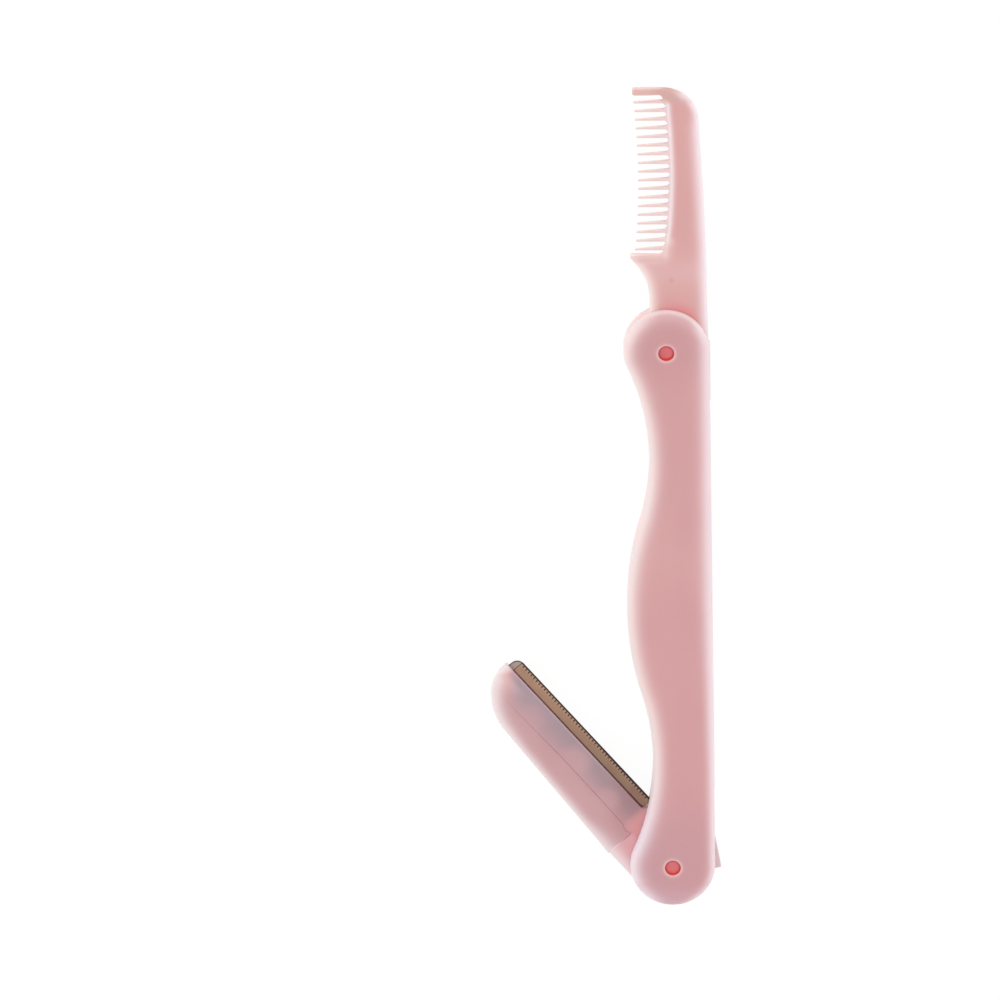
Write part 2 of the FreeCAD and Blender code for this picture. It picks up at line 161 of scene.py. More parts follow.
def moulding(name, loop, floor, roof, low, high, holes=(), grid=0.8, steps=5):
    """A flat moulding with holes. Low and high are the rounding of its two rims."""
    low = np.broadcast_to(np.asarray(low, float), len(loop))
    high = np.broadcast_to(np.asarray(high, float), len(loop))
    edge = np.roll(loop, -1, axis=0) - loop
    edge /= np.linalg.norm(edge, axis=1)[:, None]
    normal = np.stack([-edge[:, 1], edge[:, 0]], 1)
    mean = normal + np.roll(normal, 1, axis=0)
    mean /= np.linalg.norm(mean, axis=1)[:, None]
    inward = mean / np.maximum(0.5, (mean * normal).sum(1))[:, None]

    points, faces = [], []

    def ring(places, height):
        height = np.broadcast_to(height, len(places))
        points.extend((x, y, z) for (x, y), z in zip(places, height))
        return list(range(len(points) - len(places), len(points)))

    def wall(lower, upper):
        for i in range(len(lower)):
            j = (i + 1) % len(lower)
            faces.append((lower[i], lower[j], upper[j], upper[i]))

    # The side, ring by ring from the floor up, with both roundings
    rings = []
    turns = [math.pi / 2 * i / steps for i in range(steps + 1)]
    for t in turns:
        drawn_in = low * (1 - math.sin(t))
        rings.append(ring(loop + inward * drawn_in[:, None], floor + low * (1 - math.cos(t))))
    for t in turns:
        drawn_in = high * (1 - math.cos(t))
        rings.append(ring(loop + inward * drawn_in[:, None], roof - high * (1 - math.sin(t))))
    for lower, upper in zip(rings, rings[1:]):
        wall(lower, upper)

    # The holes, each a tube with a small chamfer at both mouths
    tubes, mouths = [], []
    for x, y, radius, rim in holes:
        slope = [(rim * (1 - math.sin(t)), rim * (1 - math.cos(t))) for t in (0, math.pi / 4, math.pi / 2)]
        tube = [ring(circle_loop(x, y, radius + out), floor + drop) for out, drop in slope]
        tube += [ring(circle_loop(x, y, radius + out), roof - drop) for out, drop in reversed(slope)]
        for lower, upper in zip(tube, tube[1:]):
            wall(upper, lower)
        tubes.append(tube)
        mouths.append((x, y, radius + rim))

    # Both flat faces, filled over an even field of points
    (left, bottom), (right, top) = loop.min(0), loop.max(0)
    columns = np.arange(left, right, grid)
    rows = np.arange(bottom, top, grid * 0.866)
    shift = (0, grid / 2)
    field = np.array([(x + shift[row % 2], y) for row, y in enumerate(rows) for x in columns])
    for side, height, faces_up in ((0, floor, False), (-1, roof, True)):
        border = np.array([points[i][:2] for i in rings[side]])
        inside = inside_loop(field, border) & (inset_of(field, border) > grid * 0.45)
        for x, y, radius in mouths:
            inside &= np.hypot(field[:, 0] - x, field[:, 1] - y) > radius + grid * 0.5
        spread = ring(field[inside], height)
        halo = []
        for x, y, radius in mouths:
            halo += ring(circle_loop(x, y, radius + 0.2), height)
        loops = [rings[side]] + [tube[side] for tube in tubes]
        used = sum(loops, []) + halo + spread
        sides, first = [], 0
        for one in loops:
            sides += [(first + i, first + (i + 1) % len(one)) for i in range(len(one))]
            first += len(one)
        flat = [Vector(points[i][:2]) for i in used]
        _, _, triangles, origin, _, _ = delaunay_2d_cdt(flat, sides, [], 1, 1e-7)
        for triangle in triangles:
            corners = [used[origin[i][0]] for i in triangle]
            middle = np.mean([points[i][:2] for i in corners], axis=0)
            if any(math.dist(middle, (x, y)) < radius * 0.9995 for x, y, radius in mouths):
                continue
            a, b, c = (points[i] for i in corners)
            upward = (b[0] - a[0]) * (c[1] - a[1]) - (b[1] - a[1]) * (c[0] - a[0]) > 0
            faces.append(corners if upward == faces_up else corners[::-1])
    return new_piece(name, points, faces)


def bar(name, near, far, low, high, floor, roof, rim):
    """A straight bar along the spine, from near to far across the handle."""
    corners = [(near, low), (far, low), (far, high), (near, high)]
    loop = sum((straight(corners[i], corners[(i + 1) % 4], 1.0) for i in range(4)), [])
    return moulding(name, np.array(loop), floor, roof, rim, rim, grid=1.5, steps=2)


def shaped(whole, how, *parts):
    """Welds parts onto a piece, cuts them out of it, or keeps what it shares with them."""
    for part in parts:
        step = whole.modifiers.new(part.name, "BOOLEAN")
        step.operation, step.solver, step.object = how, "MANIFOLD", part
    bpy.context.view_layer.update()
    seen = whole.evaluated_get(bpy.context.evaluated_depsgraph_get())
    shape = bpy.data.meshes.new_from_object(seen)
    whole.modifiers.clear()
    whole.data = shape
    for part in parts:
        bpy.data.objects.remove(part)


def fitted(piece, node, body, finish, loop=None, sharp=35, move=None):
    """Puts a piece in its node's place, in metres, with its finish on.

    With an outline, the finish also gets each point's depth inside it.
    """
    mesh = piece.data
    places = np.zeros(len(mesh.vertices) * 3, np.float32)
    mesh.vertices.foreach_get("co", places)
    places = places.reshape(-1, 3)
    inset = np.zeros(len(places))
    if loop is not None:
        inset = inset_of(places[:, :2], loop)
        inset[~inside_loop(places, loop)] = 0
    depth = mesh.attributes.new("inset", "FLOAT", "POINT")
    depth.data.foreach_set("value", inset.astype(np.float32))
    if move:
        mesh.transform(move)
    mesh.shade_smooth()
    mesh.set_sharp_from_angle(angle=math.radians(sharp))
    mesh.transform(Matrix.Scale(metre, 4))
    mesh.materials.clear()
    mesh.materials.append(finish.material)
    soft = piece.modifiers.new("soft", "WEIGHTED_NORMAL")
    soft.keep_sharp = True
    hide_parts(node)
    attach(piece, body)


def linear(colour):
    """A colour as seen on a screen, 0 to 255, in the values that a finish takes."""
    if isinstance(colour, bpy.types.NodeSocket):
        return colour
    return [((c / 255 + 0.055) / 1.055) ** 2.4 for c in colour] + [1.0]


class Nodes:
    """The nodes of a finish or a light, with the sums that the painting needs."""

    def __init__(self, owner):
        owner.use_nodes = True
        self.tree = owner.node_tree
        self.tree.nodes.clear()

    def give(self, node, key, value):
        if isinstance(value, bpy.types.NodeSocket):
            self.tree.links.new(value, node.inputs[key])
        else:
            node.inputs[key].default_value = value

    def add(self, kind, inputs=None, **settings):
        made = self.tree.nodes.new(kind)
        for key, value in settings.items():
            setattr(made, key, value)
        for key, value in (inputs or {}).items():
            self.give(made, key, value)
        return made

    def sums(self, operation, *values):
        return self.add("ShaderNodeMath", dict(enumerate(values)), operation=operation).outputs[0]

    def less(self, value, taken):
        return self.sums("SUBTRACT", value, taken)

    def plus(self, value, added):
        return self.sums("ADD", value, added)

    def most(self, value, other):
        return self.sums("MAXIMUM", value, other)

    def size(self, value):
        return self.sums("ABSOLUTE", value)

    def times(self, *values):
        product = values[0]
        for value in values[1:]:
            product = self.sums("MULTIPLY", product, value)
        return product

    def eased(self, value, start, end, low=0.0, high=1.0):
        """Goes from low to high, with soft ends, as a value goes from start to end."""
        inputs = {"Value": value, "From Min": start, "From Max": end, "To Min": low, "To Max": high}
        return self.add("ShaderNodeMapRange", inputs, interpolation_type="SMOOTHSTEP").outputs[0]

    def fading(self, distance, width):
        """1 at no distance, easing away over about the given width."""
        share = self.sums("DIVIDE", distance, width)
        return self.sums("EXPONENT", self.times(share, share, -1.0))

    def far_from(self, x, y, at_x, at_y):
        """Distance of a place from a point, seen from above."""
        across, along = self.less(x, at_x), self.less(y, at_y)
        return self.sums("SQRT", self.plus(self.times(across, across), self.times(along, along)))

    def blend(self, share, first, second):
        """Two colours mixed, each as seen on a screen or mixed before."""
        inputs = {0: share, 6: linear(first), 7: linear(second)}
        return self.add("ShaderNodeMix", inputs, data_type="RGBA").outputs[2]

    def split(self, place):
        return self.add("ShaderNodeSeparateXYZ", {0: place}).outputs

    def scaled(self, place, by):
        return self.add("ShaderNodeVectorMath", {0: place, 1: by}, operation="MULTIPLY").outputs[0]


class Finish(Nodes):
    """A finish laid coat by coat. Its x, y and z are places on the piece in millimetres."""

    def __init__(self, slot, roughness, bump, grain=9.0, uneven=0.06):
        self.slot = slot
        self.material = bpy.data.materials.new(slot)
        super().__init__(self.material)
        self.shader = self.add("ShaderNodeBsdfPrincipled")
        self.add("ShaderNodeOutputMaterial", {"Surface": self.shader.outputs[0]})
        in_metres = self.add("ShaderNodeTexCoord").outputs["Object"]
        self.place = self.scaled(in_metres, (1 / metre, 1 / metre, 1 / metre))
        self.x, self.y, self.z = self.split(self.place)
        fine = self.cloud(grain, 3)
        spread = {"Value": fine, "To Min": roughness - uneven, "To Max": roughness + uneven}
        rough = self.add("ShaderNodeMapRange", spread)
        self.give(self.shader, "Roughness", rough.outputs[0])
        grained = self.add("ShaderNodeBump", {"Height": fine, "Strength": 0.3, "Distance": bump * metre})
        self.give(self.shader, "Normal", grained.outputs[0])

    def cloud(self, scale, detail, stretch=(1, 1, 1), place=None):
        """Soft noise from 0 to 1 over the piece."""
        inputs = {"Vector": self.scaled(place or self.place, stretch), "Scale": scale, "Detail": detail}
        return self.add("ShaderNodeTexNoise", inputs).outputs["Fac"]

    def coat(self, share, colour):
        """Lays a colour over the last coat, where its share is above 0."""
        self.colour = self.blend(share, self.colour, colour)
        self.give(self.shader, "Base Color", self.colour)

    def let_light_in(self, weight, depth, spread):
        """How much light goes into the plastic, how deep in millimetres, and its spread."""
        self.give(self.shader, "Subsurface Weight", weight)
        self.give(self.shader, "Subsurface Scale", depth * metre)
        self.give(self.shader, "Subsurface Radius", spread)

    def glow(self, share, colour, strength=0.16):
        """Paints in, as emission, the light that thin pale plastic passes on from behind."""
        self.give(self.shader, "Emission Strength", self.times(share, strength))
        self.give(self.shader, "Emission Color", linear(colour))


def pink_plastic(slot, light_in=0.5):
    """Satin translucent plastic. Inset is each point's depth inside its piece's outline."""
    made = Finish(slot, 0.42, 0.004)
    made.inset = made.add("ShaderNodeAttribute", attribute_name="inset").outputs["Fac"]
    made.flow = made.cloud(0.12, 2, (1, 0.35, 1))
    made.let_light_in(light_in, 0.9, (1.0, 0.5, 0.45))
    return made


# Pinks along the handle: height where each starts, height where it is full, and how full
tones_by_height = (
    (42, 33, 1.0, (223, 171, 171)),
    (10, -2, 1.0, (220, 166, 167)),
    (-27, -38, 1.0, (209, 159, 164)),
    (-43.5, -46.5, 0.6, (214, 174, 186)),
)
top_pink, flow_pink = (213, 160, 162), (214, 159, 162)
left_rim_highlight, right_rim_highlight, lilac_rim_highlight = (248, 231, 229), (244, 224, 229), (242, 228, 238)
top_edge_highlight, spine_painted_light = (253, 234, 234), (252, 238, 242)
pin_hole_highlight, bore_glow_red = (236, 202, 205), (236, 104, 92)
slot_painted_light, slot_painted_glow = (248, 220, 219), (252, 232, 231)

shell_pink = paint = pink_plastic("shell_pink")
x, y, inset = paint.x, paint.y, paint.inset
paint.colour = top_pink
for start, end, share, tone in tones_by_height:
    paint.coat(paint.eased(y, start, end, 0, share), tone)
paint.coat(paint.eased(paint.flow, 0.4, 0.7, 0, 0.5), flow_pink)
# The pale rims: partly the paler look of thin translucent edges, partly a painted highlight where the
# rounded rims catch the side light, with less of it at the crown and the foot.
rim_highlight_tone = paint.blend(paint.eased(x, -3, 3), left_rim_highlight, right_rim_highlight)
low_left = paint.times(paint.eased(y, -22, -36), paint.eased(x, 1, -3, 0, 0.7))
rim_highlight_tone = paint.blend(low_left, rim_highlight_tone, lilac_rim_highlight)
by_sides = paint.most(paint.eased(x, -0.5, -5.0, 0.3, 1), paint.eased(x, 3.0, 5.8, 0.3, 1))
below_crown = paint.most(by_sides, paint.eased(y, 44.5, 42.0))
above_foot = paint.most(paint.eased(paint.size(x), 0.5, 4.0, 0.1, 0.85), paint.eased(y, -46.0, -43.0))
spine_width = paint.eased(y, 8, -30, 1.45, 0.95)
rim_width = paint.eased(x, -2, 2, 1.6, spine_width)
paint.coat(paint.times(paint.fading(inset, rim_width), below_crown, above_foot), rim_highlight_tone)
# Painted light along the top end's rim, lifting the shade that the comb lays on it.
on_top = paint.times(paint.eased(y, 41.5, 45.5), paint.eased(x, -5, -2, 0.2, 1))
paint.coat(paint.times(paint.fading(inset, 0.3), on_top, 0.8), top_edge_highlight)
from_pin = paint.far_from(x, paint.size(y), 0, pin_height)
# A painted highlight round each pin hole, on its chamfered mouth.
halo = paint.fading(paint.less(from_pin, pin_radius + 0.12), 0.28)
paint.coat(paint.times(halo, 0.6), pin_hole_highlight)
# The bore's wall painted red: a painted glow of light through the red pin, in place of the recess's shade.
paint.coat(paint.eased(from_pin, pin_radius + 0.045, pin_radius - 0.01), bore_glow_red)
# Painted light on the bead and lug beyond the spine, lifting the shade that the front shell lays on them.
paint.coat(paint.eased(x, end_radius + 0.015, end_radius + 0.055), spine_painted_light)
# Inside the slot: faces painted pale and given a faint emission, painted light for what the translucent
# plates let through, against the slot's shade.
from_middle = paint.size(paint.less(paint.z, slot_middle))
in_slot = paint.eased(from_middle, slot_half + 0.07, slot_half + 0.03)
in_slot = paint.times(in_slot, paint.eased(inset, 0.02, 0.1))
paint.coat(in_slot, slot_painted_light)
paint.glow(in_slot, slot_painted_glow)

outline = handle_loop(0.5)
pin_holes = [(0, pin_height, pin_radius, hole_edge), (0, -pin_height, pin_radius, hole_edge)]
rear = moulding("rear_plate", outline, 0, plate_thick, outer_round, inner_round, pin_holes)
wall_foot = plate_thick - wall_sunk
wall = bar("spine_wall", wall_face, end_radius, wall_low, end_height, wall_foot, slot_roof, wall_round)
trim = [
    bar(name, wall_face + 0.2, end_radius + proud, low, high, floor, roof, rim)
    for name, proud, low, high, floor, roof, rim in wall_trim
]
shaped(rear, "UNION", wall, *trim)
fitted(rear, "rear_shell", "handle", shell_pink, outline)

# Pivot pins: two plain moulded pins in a deeper pink, pressed through both plates. Their
# ends are sunk below the outer faces and have a small chamfer.
pin_sink, pin_chamfer = 0.45, 0.12
handle_thick = slot_roof + plate_thick
pin_middle_red, pin_rim_shade_red = (226, 120, 126), (216, 88, 86)
pin_low_glow_red, pin_cloud = (242, 88, 68), (214, 104, 106)

pin_pink = paint = Finish("pin_pink", 0.4, 0.004)
upright = paint.size(paint.y)
from_axis = paint.far_from(paint.x, upright, 0, pin_height)
rise = paint.times(paint.less(upright, pin_height), paint.sums("SIGN", paint.y))
paint.colour = pin_middle_red
# Painted shade: a darker red towards each pin's rim, under the wall of its sunk end.
paint.coat(paint.eased(from_axis, 0.7, 1.1), pin_rim_shade_red)
# Painted light: a brighter red along each pin's lower side, where light comes in through the plastic.
paint.coat(paint.eased(rise, -0.3, -1.1), pin_low_glow_red)
paint.coat(paint.eased(paint.cloud(0.9, 2), 0.4, 0.7, 0, 0.5), pin_cloud)
paint.let_light_in(0.35, 0.6, (1.0, 0.4, 0.35))

for node, height in (("comb_pivot_pin", pin_height), ("razor_pivot_pin", -pin_height)):
    circle = circle_loop(0, height, pin_radius, 64)
    low, high = pin_sink, handle_thick - pin_sink
    pin = moulding(node + "_shown", circle, low, high, pin_chamfer, pin_chamfer, grid=0.4, steps=3)
    fitted(pin, node, "handle", pin_pink, circle)

# Comb: one thin moulding with a rounded back, a neck, a thick first tooth, a pointed horn
# and eighteen tapered teeth on a hollow root line. Its tang turns on the upper pin.
play = 0.08
arm_floor, arm_roof = plate_thick + play, slot_roof - play
tang_hole, tang_hole_edge = pin_radius + 0.05, 0.08
comb_tang = 5.225
shoulder = 1.38
neck_out = 2.4
comb_top, bar_end = 41.187, -4.6
horn_high, horn_low = 14.94, 14.54
root_line = [
    (-0.35, 40.15), (0.36, 38.65), (0.7, 33.5), (0.87, 27.4), (0.57, 21.0), (0.16, 17.5), (-0.2, horn_high),
]
root_rounds = (0.55, 1.0, 60, 60, 60, 30, 0.9)
tooth_count = 18
tooth_lowest, tooth_highest = 15.8, 39.007
tooth_pitch = (tooth_highest - tooth_lowest) / (tooth_count - 1)
tooth_tips, tip_bow = -4.565, 0.64
tall_root, tall_tip = 0.27, 0.125
thick_root, thick_tip = 0.425, 0.21
tooth_flare, under_edge = 0.3, 0.2
root_ahead, tooth_sides = 0.06, 16
mark_x, mark_y, mark_radius, mark_deep = 0.9, pin_height + 11, 0.4, 0.05


def rounded_loop(corners, step):
    """An open outline from corners (x, y, radius), sampled along its sides and arcs."""
    entries, exits, arcs = [], [], []
    count = len(corners)
    for index, (x, y, radius) in enumerate(corners):
        here = np.array((x, y), float)
        before = np.array(corners[index - 1][:2], float) - here
        after = np.array(corners[(index + 1) % count][:2], float) - here
        before /= np.linalg.norm(before)
        after /= np.linalg.norm(after)
        if radius > 0:
            half = math.acos(np.clip(before @ after, -1, 1)) / 2
            cut_back = radius / math.tan(half)
            side = before + after
            centre = here + side / np.linalg.norm(side) * radius / math.sin(half)
            entry, leave = here + before * cut_back, here + after * cut_back
            arcs.append(bend(centre, entry, leave, min(step, radius * 0.35)) + [leave])
        else:
            entry = leave = here
            arcs.append([here])
        entries.append(entry)
        exits.append(leave)
    loop = list(arcs[0])
    for index in range(1, count):
        loop += straight(exits[index - 1], entries[index], step)[1:]
        loop += arcs[index]
    return loop


def smoothed(values, width):
    """Evens a value out along a closed outline."""
    total = sum(np.roll(values, shift) for shift in range(-width, width + 1))
    return total / (2 * width + 1)


def skinned(name, rings, place=None):
    """A solid skinned over rings of points, with its first and last ring filled."""
    sides = len(rings[0])
    points = [point for one in rings for point in one]
    faces = []
    for start in range(0, len(points) - sides, sides):
        for i in range(sides):
            j = (i + 1) % sides
            faces.append((start + i, start + sides + i, start + sides + j, start + j))
    faces.append(tuple(range(sides)))
    faces.append(tuple(range(len(points) - sides, len(points)))[::-1])
    return new_piece(name, points, faces, place)


def prism(name, loop, floor, roof):
    """A straight-sided block over an outline."""
    return skinned(name, [[(x, y, height) for x, y in loop] for height in (roof, floor)])


def softened(value):
    """A circle's sine or cosine, swelled towards a square's."""
    return math.copysign(abs(value) ** 0.4, value)


def tooth(index):
    """One tapered tooth with soft corners, flared where it grows out of the body."""
    height = tooth_lowest + index * tooth_pitch
    half_row = (tooth_highest - tooth_lowest + tooth_pitch) / 2
    away = (height - (tooth_lowest + tooth_highest) / 2) / half_row
    root_xs, root_ys = zip(*reversed(root_line))
    root = np.interp(height, root_ys, root_xs) - root_ahead
    tip = tooth_tips + tip_bow * (1 - away ** 2)
    stations = [root - out for out in (-0.55, -0.05, 0.05, 0.12, 0.2, tooth_flare)]
    stations += list(np.linspace(root - tooth_flare, tip + 0.14, 7))[1:]
    narrowed = [1] * len(stations) + [0.86, 0.6, 0.25]
    stations += [tip + 0.07, tip + 0.02, tip]
    rings = []
    for place, narrow in zip(stations, narrowed):
        share = np.clip((root - place) / (root - tip), 0, 1)
        tall = tall_root + (tall_tip - tall_root) * share
        thick = thick_root + (thick_tip - thick_root) * share
        middle = pin_height + height + tall - under_edge
        if place > root - tooth_flare:
            gap = min(place - (root - tooth_flare), tooth_flare)
            tall += tooth_flare - math.sqrt(tooth_flare ** 2 - gap ** 2)
        turns = [2 * math.pi * i / tooth_sides for i in range(tooth_sides)]
        rings.append([
            (place,
             middle + tall * narrow * softened(math.cos(a)),
             slot_middle + thick * narrow * softened(math.sin(a)))
            for a in turns
        ])
    return skinned("tooth", rings)


meet = math.sqrt(comb_tang ** 2 - shoulder ** 2)
neck_meet = math.sqrt(comb_tang ** 2 - neck_out ** 2)
# Corners from the shoulder round to the neck: x, y and rounding
comb_corners = [
    (meet, shoulder, 0), (6.325, shoulder, 0.2), (6.05, 20.51, 420), (5.0, comb_top, 5.3),
    (bar_end, comb_top, 0.3), (bar_end, root_line[0][1], 0.3),
    *((x, y, radius) for (x, y), radius in zip(root_line, root_rounds)),
    (-comb_tang, horn_high, 0.16), (-comb_tang, horn_low, 0.16),
    (-neck_out, 11.14, 9.0), (-neck_out, neck_meet, 0),
]
tang = bend((0, 0), (-neck_out, neck_meet), (-comb_tang, -0.01), 0.4)
tang += bend((0, 0), (-comb_tang, -0.01), (0.01, -comb_tang), 0.4)
tang += bend((0, 0), (0.01, -comb_tang), (meet, shoulder), 0.4)
comb_loop = np.array(rounded_loop(comb_corners, 0.3) + tang[1:])
x, y = comb_loop[:, 0], comb_loop[:, 1]
by_horn = (y > 12.0) & (y < 16)
comb_rim = np.full(len(comb_loop), 0.5)
comb_rim[(x < -0.6) & (y > 39.5)] = 0.25
comb_rim[(x < -2.6) & by_horn] = 0.14
comb_rim[y < 5.0] = 0.1
comb_rim = smoothed(comb_rim, 4)
comb_rim[(x < -3.4) & (y > 39.5)] = 0.24
comb_rim[(x < -4.2) & by_horn] = 0.12
comb_loop += (0, pin_height)
comb_hole = [(0, pin_height, tang_hole, tang_hole_edge)]
comb = moulding("comb_moulding", comb_loop, arm_floor, arm_roof, comb_rim, comb_rim, comb_hole, grid=0.6)
shaped(comb, "UNION", *(tooth(index) for index in range(tooth_count)))
mark = circle_loop(mark_x, mark_y, mark_radius, 24)
shaped(comb, "DIFFERENCE", prism("eject_mark", mark, arm_roof - mark_deep, arm_roof + 1))

comb_base, comb_flow, neck_pink = (226, 174, 171), (222, 169, 167), (229, 184, 183)
front_rim_highlight, low_rim_highlight, back_rim_highlight = (248, 228, 230), (251, 231, 227), (251, 234, 239)
bar_pink, bar_end_pink = (219, 179, 173), (226, 191, 183)
tooth_pale, tooth_wall_painted_glow = (236, 210, 206), (250, 228, 228)
shell_edge_glow_pink, mark_shade_pink = (232, 156, 158), (212, 158, 158)
bar_under = pin_height + root_line[0][1]
horn_top = round(pin_height + horn_high, 1)

comb_pink = paint = pink_plastic("comb_pink")
x, y = paint.x, paint.y
low_part = paint.eased(y, 60, 57.5)
back_side = paint.eased(x, 2.2, 3.4)
paint.colour = comb_base
paint.coat(paint.eased(paint.flow, 0.35, 0.65), comb_flow)
paint.coat(paint.fading(paint.less(y, 53.5), 2.2), neck_pink)
bar_tone = paint.blend(paint.eased(x, 0.0, -3.0), bar_pink, bar_end_pink)
paint.coat(paint.eased(y, bar_under - 2.1, bar_under - 0.1), bar_tone)
# The comb's pale rims: partly the paler look of thin translucent edges, partly a painted highlight on the
# rounded rims, held back by the roots and on the horn.
wider_back = paint.times(back_side, paint.eased(low_part, 0, 1, 0.68, 0.05))
rim_highlight_width = paint.plus(paint.eased(low_part, 0, 1, 0.52, 1.1), wider_back)
narrow_top = paint.eased(y, bar_under - 6.4, bar_under - 0.4, 1.0, paint.eased(back_side, 0, 1, 1.0, 0.5))
pale = paint.blend(back_side, paint.blend(low_part, front_rim_highlight, low_rim_highlight), back_rim_highlight)
by_roots = paint.times(paint.less(1.0, back_side), paint.less(1.0, low_part), 0.28)
rim_highlight_share = paint.fading(paint.less(paint.inset, by_roots), paint.times(rim_highlight_width, narrow_top))
under_bar = paint.most(paint.eased(y, bar_under - 0.4, bar_under - 1.6), paint.eased(x, 1.0, 3.2, 0, 0.75))
horn_start = paint.eased(y, horn_top - 1.5, horn_top - 0.7)
horn_end = paint.eased(y, horn_top + 0.7, horn_top + 0.1)
on_horn = paint.times(horn_start, horn_end, paint.eased(x, 0.6, -0.6))
on_horn = paint.times(on_horn, paint.eased(x, -3.4, -5.0, 0.58, 0.25))
low_root = paint.fading(paint.far_from(x, y, 0.8, 56.9), 1.1)
held_back = paint.most(paint.times(low_root, 0.45), on_horn)
paint.coat(paint.times(rim_highlight_share, under_bar, paint.less(1.0, held_back)), pale)
in_teeth = paint.eased(x, 0.7, -1.0)
above_horn = paint.eased(y, horn_top - 0.1, horn_top + 0.5)
below_bar = paint.eased(y, bar_under - 0.5, bar_under - 0.9)
paint.coat(paint.times(in_teeth, above_horn, below_bar), tooth_pale)
# A painted red glow on the comb next to the front shell's rim, for light through the stacked plastic and
# against the shade there.
by_shell = paint.fading(paint.less(paint.far_from(x, y, 0, pin_height), 6.3), 1.3)
by_shell = paint.times(by_shell, paint.eased(x, -1.5, 1.5), paint.eased(x, 5.4, 3.6))
paint.coat(by_shell, shell_edge_glow_pink)
# Painted shade in the ejector mark's dimple.
in_mark = paint.eased(paint.far_from(x, y, mark_x, mark_y), mark_radius + 0.1, mark_radius - 0.1)
paint.coat(paint.times(in_mark, 0.3), mark_shade_pink)
# Painted light: a faint emission on the teeth's side walls, lifting the shade between them.
facing = paint.split(paint.add("ShaderNodeNewGeometry").outputs["Normal"])["Z"]
on_walls = paint.eased(paint.size(facing), 0.8, 0.3)
past_neck = paint.eased(y, horn_top - 1.2, horn_top - 0.6)
paint.glow(paint.times(on_walls, in_teeth, past_neck), tooth_wall_painted_glow)
fitted(comb, "comb", "comb", comb_pink, comb_loop)

# Blade: a thin strip of steel ground on both sides of its edge. The razor arm is moulded
# round it, and only its edge and its rounded tip stand out.
razor_turn, blade_lean = math.radians(36), math.radians(4.5)
blade_edge_x, blade_foot_y = 3.36, 9.86
blade_back, back_round = -5.4, 2.8
# The grind of one side: depth behind the edge, and half the thickness there
ground = ((0.0, 0.01), (0.12, 0.05), (0.5, 0.14))
blade_half = ground[-1][1]
tip_high, tip_round, tip_out = 30.66, 1.2, 0.1
tip_start = 29.58
steel_light, steel_dark, steel_by_holder = (186, 172, 162), (168, 154, 146), (172, 144, 138)
guard_shadow, tip_shade_outline = (120, 82, 74), (80, 60, 52)

to_arm = Matrix.Translation((0, -pin_height, 0)) @ Matrix.Rotation(razor_turn, 4, "Z")
edge_at = Matrix.Translation((blade_edge_x, blade_foot_y, slot_middle))
to_edge = to_arm @ edge_at @ Matrix.Rotation(blade_lean, 4, "Z")


def by_blade(finish):
    """Places on the razor: across the edge (0 on it), up from the blade's foot, and out."""
    turned = (0, 0, razor_turn + blade_lean)
    inputs = {"Vector": finish.place, "Location": to_edge.translation, "Rotation": turned}
    return finish.add("ShaderNodeMapping", inputs, vector_type="TEXTURE").outputs[0]


# The edge from the foot up and round the tip: height, and how far out it is
tip_x, tip_y = tip_out - tip_round, tip_high - tip_round
edge_line = [(height, 0.0) for height in (0.2, 15.0, 28.1, 28.6, 29.1, tip_start - 0.06)]
for turn in np.linspace(math.asin((tip_start - tip_y) / tip_round), math.pi / 2, 12):
    edge_line.append((tip_y + tip_round * math.sin(turn), tip_x + tip_round * math.cos(turn)))
rings = []
for height, edge in edge_line:
    above = max(0.0, height - (tip_high - back_round))
    back_x = blade_back + back_round - math.sqrt(max(0.0, back_round ** 2 - above ** 2))
    front = [(edge - back, height, half) for back, half in ground] + [(back_x, height, blade_half)]
    rings.append(front + [(x, y, -z) for x, y, z in reversed(front)])
blade = skinned("ground_strip", rings, to_edge)

blade_steel = paint = Finish("blade_steel", 0.36, 0.002)
by_edge = by_blade(paint)
x, y, _ = paint.split(by_edge)
paint.colour = steel_light
paint.coat(paint.cloud(1.2, 4, (1, 14, 1), by_edge), steel_dark)
paint.coat(paint.eased(x, -1.0, -1.6), steel_by_holder)
paint.coat(paint.eased(y, tip_start + 0.14, tip_start + 0.06), guard_shadow)
# Painted shade: a dark rim round the blade's rounded tip, where its ground edge turns away from the light.
past_round = paint.eased(paint.less(paint.far_from(x, y, tip_x, tip_y), tip_round), -0.2, -0.1)
past_round = paint.times(past_round, paint.sums("GREATER_THAN", x, tip_x))
paint.coat(paint.most(past_round, paint.eased(y, tip_high - 0.14, tip_high - 0.07)), tip_shade_outline)
paint.give(paint.shader, "Metallic", 0.7)
fitted(blade, "blade", "razor", blade_steel, sharp=20)

# Guard: bronze-toned foil folded over the cutting edge and slotted across the fold, so
# that hairs reach the edge and skin doesn't.
foil = 0.1
slot_count, first_slot = 47, 0.98
slot_pitch, slot_wide, slot_deep = 0.608, 0.17, 0.42
nose_strip = 0.1
guard_low, guard_high = 0.05, tip_start
guard_seat, foot_round = -1.68, 0.75
# Half of the fold, seen from its end: behind the edge, and out from the blade's middle
fold = [
    (0.08, 0.0), (0.065, 0.045), (0.02, 0.075), (-nose_strip, 0.105), (-0.32, 0.165), (-slot_deep, 0.192),
    (-0.75, 0.2), (-1.0, 0.2), (-1.3, 0.2), (-1.55, 0.2), (guard_seat, 0.2),
]
bronze_high, bronze_low, bronze_cloud = (184, 142, 117), (150, 115, 97), (161, 135, 113)
between_slots, nose_shade = (198, 168, 156), (56, 40, 34)
seat_shadow, seat_shadow_low = (138, 96, 90), (106, 50, 42)

